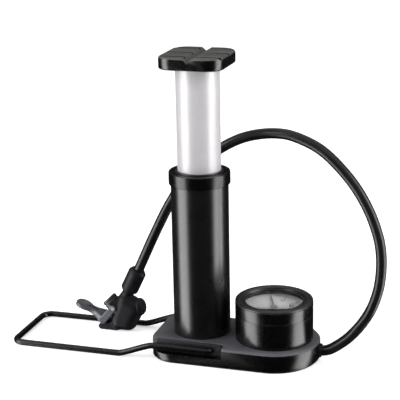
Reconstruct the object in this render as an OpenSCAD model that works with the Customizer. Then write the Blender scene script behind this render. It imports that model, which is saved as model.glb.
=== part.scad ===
// Foot-operated mini pump with a pressure gauge, a folding wire stand and a short hose.
// Millimetres, +Z up. Origin on the ground, on the barrel's axis; +X points at the gauge.

/* [Base] */
// Width of the base across Y
base_w = 61; // [59:0.5:63]
// Height of the base's top face above the ground
base_h = 14.1; // [13.9:0.1:15]
// Distance from the barrel's axis to the gauge's axis
gauge_x = 50; // [49:0.5:54]
// Distance from the barrel's axis to the base's left end
left_x = 30; // [29:0.5:32]
// Plan radius of the base's two left corners
corner_r = 17; // [14:0.5:18]
// Thickness of the slate-coloured top plate
plate_t = 1.7; // [1.5:0.1:1.9]
// Thickness of the rubber sole under the base
sole_t = 1.2; // [0.8:0.1:1.4]

/* [Barrel] */
// Outer diameter of the barrel
barrel_d = 38; // [37.8:0.1:38.2]
// Wall thickness of the barrel
barrel_wall = 2; // [1.9:0.1:2.1]
// Outer diameter of the collar ring
collar_d = 40.5; // [40.4:0.1:40.8]
// Height of the collar's top face above the ground
collar_top = 125.3; // [124.5:0.1:126]
// Height of the collar ring
collar_h = 8.3; // [7.5:0.1:9]

/* [Plunger] */
// Outer diameter of the bright plunger tube
tube_d = 28.5; // [28:0.1:28.8]
// Wall thickness of the plunger tube
tube_wall = 1.25; // [1.1:0.05:1.4]
// Height of the pedal's top face with the plunger fully raised
pedal_top = 202.6; // [200:0.1:204]
// Thickness of the pedal
pedal_h = 8.1; // [7.5:0.1:9]
// Size of the pedal along X
pedal_x = 43; // [42:0.5:45]
// Size of the pedal along Y
pedal_y = 45; // [43:0.5:45]
// Plan radius of the pedal's corners
pedal_r = 10.5; // [9:0.5:13]

/* [Gauge] */
// Outer diameter of the gauge
gauge_d = 51.6; // [50:0.2:52]
// Height of the seam between the gauge's case and its upper shell
seam_z = 32; // [31.5:0.1:33]
// Height of the crest of the gauge's soft rim
gauge_top = 41.4; // [41.2:0.1:42.2]
// Diameter of the window inside the rim
window_d = 37.8; // [37:0.1:38.5]

/* [Stand] */
// Diameter of the stand's wire
wire_d = 4; // [3.9:0.05:4]
// Distance between the centres of the stand's two rails
stand_w = 54; // [54:0.5:56]
// Distance from the barrel's axis to the middle of the stand's cross bar
stand_reach = 128.5; // [126:0.5:130]
// X of the stand's hinge axis
pivot_x = 13; // [12:0.5:14]
// Height of the stand's hinge axis above the ground
pivot_z = 10; // [9.8:0.1:10]

/* [Hose] */
// Outer diameter of the hose
hose_d = 7; // [6.6:0.1:7.2]

/* [Valve head] */
// Outer diameter of the round valve port
port_d = 11.2; // [10.8:0.1:11.2]
// Bore of the port, which takes a tyre valve
port_bore_d = 8.4; // [8.2:0.1:8.6]
// Overall thickness of the valve head along Y
head_t = 14.4; // [14.4:0.1:14.8]

/* [Hidden] */
$fn = 64;
eps = 0.01;

// Base
half_w = base_w / 2;
housing_top = base_h - plate_t;
plate_bevel = 1.4;
notch_x = 22;          // right end of the side notches that the rails lie in
notch_y = 22.3;        // inner face of the side notches
ledge_z = 6.2;         // floor of the side notches
cheek_t = 2.1;
cheek_x0 = -24.5;
cheek_x1 = 21.5;
cheek_z1 = base_h - 0.2;
floor_z = 8.4;         // floor of the barrel's socket
screw_xy = [[-18, 15], [-18, -15], [34, 23], [34, -23]];
// Barrel and plunger
barrel_r = barrel_d / 2;
bore_r = barrel_r - barrel_wall;
barrel_top = collar_top - 3.3;
tube_r = tube_d / 2;
bush_bore_r = tube_r + 0.08;
bush_lip_r = tube_r + 1.6;
bush_z0 = 92.5;
pedal_z0 = pedal_top - pedal_h;
piston_z0 = 80;
piston_h = 12;
piston_r = bore_r - 0.1;
tube_z0 = piston_z0 + 4;
plug_z0 = 184;
spring_r = 9.2;
spring_wire_r = 0.8;
spring_turns = 15;
// Check valve under the barrel
chamber_r = 5;
chamber_z0 = 2.8;
passage_z = 6;
// Gauge
gauge_r = gauge_d / 2;
case_wall = 1.8;
dial_z = 33.7;
arbor_r = 0.8;
frame_z0 = 21;
frame_z1 = 30.2;
gear_m = 0.5;          // gear module
pinion_teeth = 10;
sector_teeth = 45;     // teeth that a full circle would have
gear_c = gear_m * (pinion_teeth + sector_teeth) / 2;
gear_dir = -60;        // direction of the sector's axis seen from the gauge's axis
needle_dir = 112;      // direction of the pointer at zero pressure
// Stand
wire_r = wire_d / 2;
rail_y = stand_w / 2;
rail_z = wire_r;
stand_bend_r = 7;
leg_bend_r = 2.4;
joggle_x = [-27, -51];
hinge_leg_y = 16.5;
// Hose gland
gland_x = 82;
gland_z = 7.4;
gland_r = 4.6;
// Valve head, in the plane y = head_y
head_y = 17.5;
head_half = head_t / 2;
hose_end = [-51.3, head_y, 45.8];
hose_tilt = 26;        // lean of the hose's end from the vertical
ferrule_l = 18.5;
ferrule_r = 6.2;
neck_l = 2.5;
port_at = [-66.5, head_y, 14.5];
port_tilt = -45;       // lean of the port from the vertical
port_l = 11.5;
port_r = port_d / 2;
cap_r = 6.2;
cap_at = [-51.6, head_y, 18.3];
cap_tilt = 76;         // lean of the cap from the vertical
lever_s = 4;           // distance of the lever's hinge along the port's axis
lever_at = port_at + lever_s * [sin(port_tilt), 0, cos(port_tilt)];
arm_t = 1.3;

// Points of the hose's centre line, from the base's gland to the valve head's ferrule
hose_path = [
    [82, 0, 7.4], [87, 0, 8.5], [92.5, 0, 12], [98.5, 0, 17], [104, 0, 23], [109.5, 1, 30.5],
    [114.5, 1, 40], [118, 2, 51], [119.5, 3, 62], [119.5, 4, 73], [118, 5, 83.5],
    [115, 6, 93], [111, 7.5, 102], [105.5, 9, 111.5], [99, 11, 120], [92, 12.5, 127.5],
    [83.5, 14.5, 135], [75, 16.5, 140.5], [65, 18.5, 144.5], [54.5, 20.5, 147],
    [43.5, 22.5, 147], [32, 24.5, 145], [20, 26.5, 141], [8, 27.5, 134.5],
    [-3, 26.5, 126.5], [-13.5, 24, 116.5], [-22, 21, 104.5], [-29.3, 19, 92],
    [-35.5, 18, 79.5], [-41, 17.5, 68], [-46.3, 17.5, 56.5], hose_end];

// ---------- helpers ----------

// Outline of the base in plan, grown by g
module base_plan(g = 0) {
    straight_y = half_w - corner_r;
    translate([gauge_x, 0]) circle(r = half_w + g);
    for (s = [-1, 1])
        translate([corner_r - left_x, s * straight_y]) circle(r = corner_r + g);
    translate([corner_r - left_x, -half_w - g])
        square([gauge_x + left_x - corner_r, base_w + 2 * g]);
    translate([-left_x - g, -straight_y]) square([left_x, 2 * straight_y]);
}

// Both side notches, from height z up
module notches(z) {
    for (s = [-1, 1])
        translate([-left_x - 5, s > 0 ? notch_y : -notch_y - 20, z])
            cube([notch_x + left_x + 5, 20, 30]);
}

// Cylinder along X from x0 to x1, on the axis (y, z)
module rod_x(x0, x1, y, z, r) {
    translate([x0, y, z]) rotate([0, 90, 0]) cylinder(r = r, h = x1 - x0);
}

// Cylinder along Y from y0 to y1, on the axis (x, z)
module rod_y(y0, y1, x, z, r) {
    translate([x, y0, z]) rotate([-90, 0, 0]) cylinder(r = r, h = y1 - y0);
}

// Rounded rectangle centred on the origin
module round_rect(w, d, r) {
    square([w - 2 * r, d], center = true);
    square([w, d - 2 * r], center = true);
    for (sx = [-1, 1], sy = [-1, 1])
        translate([sx * (w / 2 - r), sy * (d / 2 - r)]) circle(r = r);
}

// Straight-flanked tooth for a gear of n teeth and pitch radius n * m / 2
module gear_teeth(n, m, first, last) {
    r = n * m / 2;
    pitch = 360 / n;
    r_tip = r + 0.65 * m;
    r_foot = r - 0.95 * m;
    for (k = [first:last])
        rotate(k * pitch)
            polygon([for (p = [[r_foot, -0.25], [r_tip, -0.11], [r_tip, 0.11], [r_foot, 0.25]])
                p[0] * [cos(p[1] * pitch), sin(p[1] * pitch)]]);
}

// Helical wire spring standing on z0
module coil_spring(z0, z1, r, wire, turns, steps, sides) {
    n = turns * steps;
    rise = (z1 - z0 - 2 * wire) / n;
    pts = [for (i = [0:n], j = [0:sides - 1])
        let (a = 360 * i / steps, b = 360 * j / sides, rr = r + wire * cos(b))
            [rr * cos(a), rr * sin(a), z0 + wire + rise * i + wire * sin(b)]];
    walls = [for (i = [0:n - 1], j = [0:sides - 1])
        let (k = (j + 1) % sides)
            [i * sides + j, (i + 1) * sides + j, (i + 1) * sides + k, i * sides + k]];
    ends = [[for (j = [0:sides - 1]) j], [for (j = [sides - 1:-1:0]) n * sides + j]];
    polyhedron(points = pts, faces = concat(walls, ends), convexity = 10);
}

function unit(v) = v / norm(v);

// Direction of travel at point i of a path whose ends leave along d0 and d1
function heading(p, i, d0, d1) =
    i == 0 ? d0 : i == len(p) - 1 ? d1 : unit(unit(p[i + 1] - p[i]) + unit(p[i] - p[i - 1]));

// Tube of radius r swept along a path that never runs along the direction flat
module swept_tube(p, r, sides, d0, d1, flat) {
    pts = [for (i = [0:len(p) - 1])
        let (t = heading(p, i, d0, d1), u = unit(cross(t, flat)), v = cross(t, u))
            for (j = [0:sides - 1])
                p[i] + r * cos(360 * j / sides) * u + r * sin(360 * j / sides) * v];
    walls = [for (i = [0:len(p) - 2], j = [0:sides - 1])
        let (k = (j + 1) % sides)
            [i * sides + j, i * sides + k, (i + 1) * sides + k, (i + 1) * sides + j]];
    ends = [[for (j = [sides - 1:-1:0]) j], [for (j = [0:sides - 1]) (len(p) - 1) * sides + j]];
    polyhedron(points = pts, faces = concat(walls, ends), convexity = 10);
}

// ---------- base ----------

module sole() {
    color("#1c1c1e") difference() {
        linear_extrude(sole_t) base_plan(-1.2);
        for (p = screw_xy) translate([p[0], p[1], -1]) cylinder(r = 3.4, h = sole_t + 2);
    }
}

module base_housing() {
    color("#101012") difference() {
        translate([0, 0, sole_t]) linear_extrude(housing_top - sole_t) base_plan();
        notches(ledge_z);
        translate([0, 0, floor_z]) cylinder(r = barrel_r, h = 20);
        translate([0, 0, chamber_z0]) cylinder(r = chamber_r, h = 20);
        translate([gauge_x, 0, chamber_z0]) cylinder(r = chamber_r, h = 20);
        rod_x(0, gland_x - 9, 0, passage_z, 1.4);
        rod_x(gland_x - 10, gland_x + 5, 0, gland_z, gland_r);
        for (s = [-1, 1])
            rod_y(s > 0 ? hinge_leg_y - 0.3 : -notch_y - 1, s > 0 ? notch_y + 1 : 0.3 - hinge_leg_y,
                  pivot_x, pivot_z, wire_r + 0.05);
        for (p = screw_xy) translate([p[0], p[1], 0]) {
            cylinder(r = 3, h = sole_t + 2.2);
            cylinder(r = 1.4, h = 11);
        }
    }
}

module top_plate() {
    color("#45444a") difference() {
        hull() {
            translate([0, 0, housing_top]) linear_extrude(0.3) base_plan();
            translate([0, 0, base_h - 0.2]) linear_extrude(0.2) base_plan(-plate_bevel);
        }
        notches(0);
        cylinder(r = barrel_r, h = 30);
        translate([gauge_x, 0, 0]) cylinder(r = chamber_r, h = 30);
    }
}

// Upright pivot plate in one side notch; s is -1 at the front and 1 at the rear
module cheek(s) {
    top_r = 3.5;
    y0 = s > 0 ? notch_y : -notch_y - cheek_t;
    color("#22232a") difference() {
        union() {
            translate([cheek_x0, y0, ledge_z])
                cube([cheek_x1 - cheek_x0 - top_r, cheek_t, cheek_z1 - ledge_z]);
            translate([cheek_x0, y0, ledge_z])
                cube([cheek_x1 - cheek_x0, cheek_t, cheek_z1 - ledge_z - top_r]);
            rod_y(y0, y0 + cheek_t, cheek_x1 - top_r, cheek_z1 - top_r, top_r);
        }
        rod_y(y0 - 1, y0 + cheek_t + 1, pivot_x, pivot_z, wire_r + 0.05);
    }
}

module cheek_front() { cheek(-1); }

module cheek_rear() { cheek(1); }

module base_screws() {
    color("#8d8f92") for (p = screw_xy) translate([p[0], p[1], 0]) {
        translate([0, 0, sole_t - 0.4]) difference() {
            cylinder(r = 2.8, h = 2.4);
            translate([-2.9, -0.4, -1]) cube([5.8, 0.8, 1.8]);
            translate([-0.4, -2.9, -1]) cube([0.8, 5.8, 1.8]);
        }
        translate([0, 0, sole_t + 1.9]) cylinder(r = 1.35, h = 7);
    }
}

// ---------- barrel ----------

module barrel() {
    color("#141416") difference() {
        translate([0, 0, floor_z]) cylinder(r = barrel_r, h = barrel_top - floor_z);
        translate([0, 0, floor_z - 1]) cylinder(r = bore_r, h = barrel_top);
        // seat of the foot seal
        translate([0, 0, floor_z - 1]) cylinder(r = bore_r + 1, h = 2);
    }
}

module barrel_seal() {
    color("#202022") translate([0, 0, floor_z + 0.5])
        rotate_extrude() translate([bore_r + 0.5, 0]) circle(r = 0.48);
}

module collar() {
    r = collar_d / 2;
    z0 = collar_top - collar_h;
    color("#151517") rotate_extrude() polygon([
        [barrel_r, z0], [r - 0.4, z0], [r, z0 + 0.4], [r, collar_top - 0.8],
        [r - 0.8, collar_top], [bush_lip_r + 0.3, collar_top], [bush_lip_r, collar_top - 0.3],
        [bush_lip_r, barrel_top], [barrel_r, barrel_top]]);
}

module guide_bush() {
    color("#2b2b2e") rotate_extrude() polygon([
        [bush_bore_r, bush_z0], [bore_r, bush_z0], [bore_r, barrel_top],
        [bush_lip_r, barrel_top], [bush_lip_r, collar_top + 0.5], [bush_lip_r - 0.4, collar_top + 0.9],
        [bush_bore_r + 0.4, collar_top + 0.9], [bush_bore_r, collar_top + 0.5]]);
}

// ---------- check valve ----------

module valve_seat() {
    color("#b08d3c") translate([0, 0, floor_z - 1.5]) difference() {
        cylinder(r = chamber_r, h = 1.5);
        translate([0, 0, -1]) cylinder(r = 1.8, h = 4);
    }
}

module valve_poppet() {
    color("#303033") {
        translate([0, 0, floor_z - 2.5]) cylinder(r = 3.2, h = 0.95);
        translate([0, 0, floor_z - 4.2]) cylinder(r = 1, h = 1.8);
    }
}

module poppet_spring() {
    color("#9a9c9f") coil_spring(chamber_z0 + 0.02, floor_z - 2.52, 2, 0.22, 4, 12, 6);
}

// ---------- plunger ----------

module plunger_tube() {
    color("#e3e3e6") difference() {
        translate([0, 0, tube_z0]) cylinder(r = tube_r, h = pedal_z0 - tube_z0);
        translate([0, 0, tube_z0 - 1]) cylinder(r = tube_r - tube_wall, h = 200);
    }
}

module piston() {
    color("#3a3a3d") rotate_extrude() polygon([
        [11.5, piston_z0], [piston_r - 0.5, piston_z0], [piston_r, piston_z0 + 0.5],
        [piston_r, piston_z0 + 5.4], [piston_r - 1.55, piston_z0 + 5.4],
        [piston_r - 1.55, piston_z0 + 7.2], [piston_r, piston_z0 + 7.2],
        [piston_r, piston_z0 + piston_h], [tube_r, piston_z0 + piston_h],
        [tube_r, tube_z0], [11.5, tube_z0]]);
}

module piston_seal() {
    color("#1b1b1c") translate([0, 0, piston_z0 + 6.3])
        rotate_extrude() translate([bore_r - 0.84, 0]) circle(r = 0.78);
}

module return_spring() {
    color("#a3a5a8")
        coil_spring(floor_z + 0.05, plug_z0 - 0.05, spring_r, spring_wire_r, spring_turns, 16, 6);
}

module pedal_plug() {
    color("#333336") difference() {
        translate([0, 0, plug_z0]) cylinder(r = tube_r - tube_wall, h = pedal_z0 - plug_z0);
        translate([0, 0, plug_z0 - 1]) cylinder(r = 2.6, h = 30);
    }
}

module pedal_screw() {
    color("#8d8f92") difference() {
        union() {
            translate([0, 0, plug_z0 - 3]) cylinder(r = 4.5, h = 3);
            translate([0, 0, plug_z0 - eps]) cylinder(r = 2.5, h = pedal_z0 - plug_z0 + 4);
        }
        translate([0, 0, plug_z0 - 4]) cylinder(r = 2, h = 2.6, $fn = 6);
    }
}

module pedal() {
    chamfer = 1.3;
    tread_w = 1.7;
    groove_half = 3.4;
    color("#2a2a2c") difference() {
        hull() {
            translate([0, 0, pedal_z0]) linear_extrude(0.1)
                round_rect(pedal_x - 2, pedal_y - 2, pedal_r - 1, $fn = 32);
            translate([0, 0, pedal_z0 + 1]) linear_extrude(pedal_h - 1 - chamfer)
                round_rect(pedal_x, pedal_y, pedal_r, $fn = 32);
            translate([0, 0, pedal_top - 0.1]) linear_extrude(0.1)
                round_rect(pedal_x - 2 * chamfer, pedal_y - 2 * chamfer, pedal_r - chamfer, $fn = 32);
        }
        // tread grooves across the pedal
        for (y = [-16, 0, 16])
            translate([-pedal_x, y - tread_w / 2, pedal_top - 1.2]) cube([2 * pedal_x, tread_w, 3]);
        // seat of the stand's cross bar
        translate([0, pedal_y, pedal_top]) rotate([90, 0, 0]) linear_extrude(2 * pedal_y)
            polygon([[-groove_half - 1, 1], [0, -groove_half], [groove_half + 1, 1]]);
        translate([0, 0, pedal_z0 - 1]) cylinder(r = 2.5, h = 5);
    }
}

// ---------- stand ----------

// Quarter turn in plan about (x, y) at height z, from angle a0 to a1
function turn(x, y, z, r, a0, a1, n = 6) =
    [for (i = [0:n]) let (a = a0 + (a1 - a0) * i / n) [x + r * cos(a), y + r * sin(a), z]];

// Centre line of the front rail, from its hinge leg to the cross bar
rail_path = concat(
    turn(pivot_x - leg_bend_r, leg_bend_r - rail_y, pivot_z, leg_bend_r, 0, -90),
    [for (q = [[joggle_x[0] + 2.5, 0], [joggle_x[0] - 2, 0.08], [joggle_x[1] + 2, 0.92],
               [joggle_x[1] - 2.5, 1]])
        [q[0], -rail_y, pivot_z + q[1] * (rail_z - pivot_z)]],
    turn(stand_bend_r - stand_reach, stand_bend_r - rail_y, rail_z, stand_bend_r, -90, -180));

module wire_stand() {
    n = len(rail_path);
    rear = [for (i = [n - 1:-1:0]) [rail_path[i][0], -rail_path[i][1], rail_path[i][2]]];
    color("#0e0e0f")
        swept_tube(concat(rail_path, rear), wire_r, 14, [0, -1, 0], [0, -1, 0], [0, 0, 1]);
}

// The wire's two ends, turned inwards, which are the hinge pins
module stand_pins() {
    leg_y = rail_y - leg_bend_r;
    color("#0e0e0f") for (s = [-1, 1])
        rod_y(s > 0 ? hinge_leg_y : -leg_y, s > 0 ? leg_y : -hinge_leg_y,
              pivot_x, pivot_z, wire_r);
}

// ---------- gauge ----------

module gauge_case() {
    z0 = base_h;
    color("#121214") translate([gauge_x, 0, 0]) rotate_extrude() polygon([
        [3, z0], [gauge_r - 0.3, z0], [gauge_r, z0 + 0.3], [gauge_r, seam_z - 0.15],
        [gauge_r - 0.3, seam_z], [gauge_r - case_wall, seam_z],
        [gauge_r - case_wall, z0 + 2], [3, z0 + 2]]);
}

module gauge_stem() {
    color("#b08d3c") translate([gauge_x, 0, 0]) difference() {
        union() {
            translate([0, 0, passage_z + 1.6]) cylinder(r = chamber_r, h = base_h - passage_z - 1.6);
            translate([0, 0, base_h]) cylinder(r = 3, h = 2);
            translate([0, 0, base_h + 2]) cylinder(r = 5.5, h = 3, $fn = 6);
        }
        cylinder(r = 1.2, h = 30);
    }
}

module bourdon_tube() {
    color("#b98f45") translate([gauge_x, 0, 25]) rotate(200) rotate_extrude(angle = 250)
        translate([20.6, 0]) {
            square([1.6, 4], center = true);
            for (s = [-1, 1]) translate([0, 2 * s]) circle(r = 0.8);
        }
}

module movement_frame() {
    axis2 = gear_c * [cos(gear_dir), sin(gear_dir)];
    plate = 1;
    post_x = 10;
    color("#c0a052") translate([gauge_x, 0, 0]) {
        for (z = [frame_z0, frame_z1]) translate([0, 0, z]) linear_extrude(plate) difference() {
            union() {
                circle(r = 6);
                translate(axis2) circle(r = 3);
                rotate(gear_dir) translate([0, -2.4]) square([gear_c, 4.8]);
                rotate(gear_dir + 180) translate([0, -2.4]) square([13, 4.8]);
            }
            circle(r = arbor_r + 0.05);
            translate(axis2) circle(r = arbor_r + 0.05);
        }
        // posts under, between and over the two plates
        rotate(gear_dir + 180) translate([post_x, 0, 0])
            for (q = [[base_h + 2, frame_z0], [frame_z0 + plate, frame_z1], [frame_z1 + plate, dial_z]])
                translate([0, 0, q[0]]) cylinder(r = 2, h = q[1] - q[0]);
    }
}

// Part of a ring between two angles
module ring_sector(r0, r1, a0, a1) {
    intersection() {
        difference() {
            circle(r = r1);
            circle(r = r0);
        }
        polygon(concat([[0, 0]], [for (i = [0:3]) let (a = a0 + (a1 - a0) * i / 3)
            2 * r1 * [cos(a), sin(a)]]));
    }
}

module sector_gear() {
    axis2 = gear_c * [cos(gear_dir), sin(gear_dir)];
    r_rim = sector_teeth * gear_m / 2 - 0.95 * gear_m + 0.02;
    pitch = 360 / sector_teeth;
    color("#c9a85a") translate([gauge_x + axis2[0], axis2[1], 0]) rotate(gear_dir + 180) {
        translate([0, 0, frame_z0 - 0.5]) cylinder(r = arbor_r, h = frame_z1 - frame_z0 + 1.5);
        translate([0, 0, 25]) linear_extrude(1.2) {
            circle(r = 2.4);
            // half a tooth off, so that a gap faces the pinion's tooth at rest
            rotate(pitch / 2) gear_teeth(sector_teeth, gear_m, -9, 1);
            ring_sector(r_rim - 1.6, r_rim, -72, 16);
            for (a = [-60, -28, 4]) rotate(a) translate([1, -0.8]) square([r_rim - 1.5, 1.6]);
        }
    }
}

module gauge_needle() {
    color("#55575a") translate([gauge_x, 0, 0]) {
        translate([0, 0, frame_z0 - 0.5]) cylinder(r = arbor_r, h = dial_z + 2.5 - frame_z0);
        translate([0, 0, 24.6]) rotate(gear_dir) linear_extrude(2) {
            circle(r = pinion_teeth * gear_m / 2 - 0.95 * gear_m + 0.02);
            gear_teeth(pinion_teeth, gear_m, 0, pinion_teeth - 1);
        }
        translate([0, 0, dial_z + 1.1]) cylinder(r = 2.2, h = 0.9);
        translate([0, 0, dial_z + 1.2]) rotate(needle_dir) linear_extrude(0.5)
            polygon([[-10, -1.5], [-10, 1.5], [0, 0.9], [16.5, 0.25], [16.5, -0.25], [0, -0.9]]);
    }
}

module dial() {
    color("#e8e8e6") translate([gauge_x, 0, dial_z]) difference() {
        cylinder(r = gauge_r - 2.1, h = 0.6);
        translate([0, 0, -1]) cylinder(r = 1.4, h = 3);
    }
}

module gauge_shell() {
    color("#121214") translate([gauge_x, 0, 0]) rotate_extrude() polygon([
        [gauge_r - 1.9, seam_z], [gauge_r - 0.3, seam_z], [gauge_r, seam_z + 0.15],
        [gauge_r, 39.6], [gauge_r - 3.2, 39.6], [gauge_r - 3.2, 38.2], [gauge_r - 4.2, 38.2],
        [gauge_r - 4.2, dial_z + 0.6], [gauge_r - 1.9, dial_z + 0.6]]);
}

module gauge_lens() {
    color("#dfe6ea") translate([gauge_x, 0, 38.2]) cylinder(r = gauge_r - 3.2, h = 1.4);
}

module gauge_rim() {
    wr = window_d / 2;
    lip_r = wr + 1.4;
    mid_r = (lip_r + gauge_r) / 2;
    half = (gauge_r - lip_r) / 2;
    color("#26272b") translate([gauge_x, 0, 0]) rotate_extrude() polygon(concat(
        [[wr, 39.6], [gauge_r - 0.1, 39.6]],
        [for (a = [0:15:180])
            [mid_r + (half - 0.1) * cos(a), 40.1 + (gauge_top - 40.1) * sin(a)]],
        [[wr, 40]]));
}

// ---------- hose and valve head ----------

module hose_gland() {
    color("#1d1d20") difference() {
        rod_x(gland_x - 9.5, gland_x, 0, gland_z, gland_r);
        rod_x(gland_x - 12, gland_x + 1, 0, gland_z, 1.6);
    }
}

module hose() {
    color("#1a1a1c") swept_tube(hose_path, hose_d / 2, 10, [1, 0, 0],
                                [-sin(hose_tilt), 0, -cos(hose_tilt)], [0, 1, 0]);
}

// Frame of the hose's end: +Z runs up the hose from the ferrule's foot
module hose_end_frame() {
    translate(hose_end) rotate([0, hose_tilt, 0]) translate([0, 0, -ferrule_l]) children();
}

// Frame of the valve port: +Z points out of the bore
module port_frame() {
    translate(port_at) rotate([0, port_tilt, 0]) children();
}

module hose_ferrule() {
    c = 1.6;
    color("#26262a") hose_end_frame() rotate_extrude() polygon([
        [1.8, 0], [ferrule_r - c, 0], [ferrule_r, c], [ferrule_r, ferrule_l - c],
        [ferrule_r - c, ferrule_l], [1.8, ferrule_l]]);
}

// The two side pockets that the lever's arms swing in, as a flat shape of thickness t
module arm_pocket(t) {
    rotate([90, 0, 0]) linear_extrude(t, center = true) hull()
        for (q = [[lever_at[0], lever_at[2]], [-86, 32], [-88, 3], [-77, 3]])
            translate(q) circle(r = 3.4, $fn = 32);
}

// Frame of the round cap: +Z points out of it
module cap_frame() {
    translate(cap_at) rotate([0, cap_tilt, 0]) children();
}

module valve_head() {
    ball = head_half - 0.2;
    pocket_y = head_half - arm_t - 0.3;
    color("#29292d") difference() {
        union() {
            // main block, rounded like a pebble
            hull() for (q = [[-66.5, ball], [-60.5, ball], [-54.8, 17.5], [-61.5, 21]])
                translate([q[0], head_y, q[1]]) sphere(r = ball, $fn = 40);
            // chin under the lever's root
            hull() {
                translate([-79.5, head_y, 2.2]) rotate([90, 0, 0])
                    cylinder(r = 2.2, h = 8, center = true, $fn = 32);
                translate([-68, head_y, 3]) rotate([90, 0, 0])
                    cylinder(r = 3, h = 8, center = true, $fn = 32);
            }
            hose_end_frame() translate([0, 0, -neck_l - 3]) cylinder(r = 4, h = neck_l + 3);
        }
        port_frame() translate([0, 0, -0.5]) cylinder(r = port_r, h = 30);
        for (s = [-1, 1]) translate([0, head_y + s * (pocket_y + 5), 0]) arm_pocket(10);
        cap_frame() cylinder(r = cap_r, h = 20);
        hose_end_frame() translate([0, 0, -12]) cylinder(r = 1.8, h = 30);
    }
}

module head_cap() {
    color("#2d2d31") cap_frame() rotate_extrude()
        polygon(concat([[0, 0], [cap_r - 0.05, 0]],
            [for (a = [0:15:90]) [cap_r - 2.05 + 2 * cos(a), 1.4 + 2 * sin(a)]], [[0, 3.4]]));
}

module valve_port() {
    lip_r = 1.2;    // rounding of the mouth's outer edge
    color("#1f1f22") difference() {
        port_frame() difference() {
            rotate_extrude() polygon(concat([[0, -0.5], [port_r, -0.5]],
                [for (a = [0:15:90]) [port_r - lip_r + lip_r * cos(a), port_l - lip_r + lip_r * sin(a)]],
                [[0, port_l]]));
            translate([0, 0, 5.5]) cylinder(r = port_bore_d / 2, h = 20);
            translate([0, 0, 1]) cylinder(r = 4.6, h = 4.5 + eps);
            translate([0, 0, -2]) cylinder(r = 1.5, h = 6);
        }
        rod_y(head_y - 9, head_y + 9, lever_at[0], lever_at[2], 1.25);
    }
}

module port_grommet() {
    color("#151516") port_frame() translate([0, 0, 1]) difference() {
        cylinder(r = 4.6, h = 2.4);
        translate([0, 0, -1]) cylinder(r = 3.6, h = 5);
    }
}

// Cylinder along Y, centred on the head's middle plane, at q = [x, z]
module peg(q, r, w) {
    translate([q[0], head_y, q[1]]) rotate([90, 0, 0])
        cylinder(r = r, h = w, center = true, $fn = 32);
}

module thumb_lever() {
    arm_y = head_half - arm_t / 2;
    pin = [lever_at[0], lever_at[2]];
    root = [-77.3, 7.9];
    neck = [-83.3, 11];
    tip = [-93.4, 15.8];
    root_r = 2.6;
    neck_r = 2.1;
    neck_w = 7.5;
    spoon_t = 2.6;
    spoon_r = 6;
    tilt = 22;
    color("#5a5c63") difference() {
        union() {
            for (s = [-1, 1]) translate([0, s * arm_y, 0]) hull() {
                peg(pin, 2.3, arm_t);
                peg(root, root_r, arm_t);
            }
            // crotch of the fork
            hull() {
                peg(root, root_r, 2 * head_half);
                peg(neck, neck_r, neck_w);
            }
            // handle and its spoon-shaped end
            hull() {
                peg(neck, neck_r, neck_w);
                translate([tip[0], head_y, tip[1]]) rotate([0, tilt, 0])
                    cylinder(r = spoon_r, h = spoon_t, center = true, $fn = 32);
            }
        }
        // finger slot along the handle
        hull() for (q = [0.1, 0.6])
            translate([neck[0] + q * (tip[0] - neck[0]), head_y,
                       neck[1] + q * (tip[1] - neck[1]) + 2.2])
                rotate([0, tilt, 0]) cylinder(r = 1.4, h = 3, center = true, $fn = 24);
        rod_y(head_y - 9, head_y + 9, lever_at[0], lever_at[2], 1.2);
    }
}

module lever_pins() {
    color("#9a9c9f") for (s = [-1, 1])
        rod_y(s > 0 ? head_y + 4.8 : head_y - head_half, s > 0 ? head_y + head_half : head_y - 4.8,
              lever_at[0], lever_at[2], 1.2);
}

sole();
base_housing();
top_plate();
cheek_front();
cheek_rear();
base_screws();
barrel();
barrel_seal();
collar();
guide_bush();
valve_seat();
valve_poppet();
poppet_spring();
plunger_tube();
piston();
piston_seal();
return_spring();
pedal_plug();
pedal_screw();
pedal();
wire_stand();
stand_pins();
gauge_case();
gauge_stem();
bourdon_tube();
movement_frame();
sector_gear();
gauge_needle();
dial();
gauge_shell();
gauge_lens();
gauge_rim();
hose_gland();
hose();
hose_ferrule();
valve_head();
head_cap();
valve_port();
port_grommet();
thumb_lever();
lever_pins();
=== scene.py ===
"""Looks for the foot-operated mini pump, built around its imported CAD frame. Metres, +Z up."""
import math

import bmesh
import bpy
from mathutils import Matrix, Vector


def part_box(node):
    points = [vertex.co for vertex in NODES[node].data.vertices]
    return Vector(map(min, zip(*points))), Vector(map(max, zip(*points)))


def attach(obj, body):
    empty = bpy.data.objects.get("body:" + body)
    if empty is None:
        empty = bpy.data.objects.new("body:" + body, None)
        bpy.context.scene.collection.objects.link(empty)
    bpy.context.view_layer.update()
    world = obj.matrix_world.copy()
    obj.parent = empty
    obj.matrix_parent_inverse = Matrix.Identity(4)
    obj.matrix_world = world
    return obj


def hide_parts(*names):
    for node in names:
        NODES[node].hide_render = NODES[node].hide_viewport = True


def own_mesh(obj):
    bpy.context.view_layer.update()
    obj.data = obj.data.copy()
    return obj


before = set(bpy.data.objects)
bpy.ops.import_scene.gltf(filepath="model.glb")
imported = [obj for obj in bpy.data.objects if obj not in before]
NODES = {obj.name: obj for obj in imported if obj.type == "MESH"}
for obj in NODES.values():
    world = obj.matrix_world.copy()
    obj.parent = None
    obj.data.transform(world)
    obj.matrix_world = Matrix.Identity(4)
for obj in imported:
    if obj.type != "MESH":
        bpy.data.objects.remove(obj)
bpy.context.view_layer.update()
MM = 0.001
scene = bpy.context.scene


# ---------------------------------------------------------------- boxes of the CAD nodes
def span(node):
    """Lowest corner, highest corner and centre of a CAD node, in metres."""
    lo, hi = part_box(node)
    lo, hi = Vector(lo), Vector(hi)
    return lo, hi, (lo + hi) / 2


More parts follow.
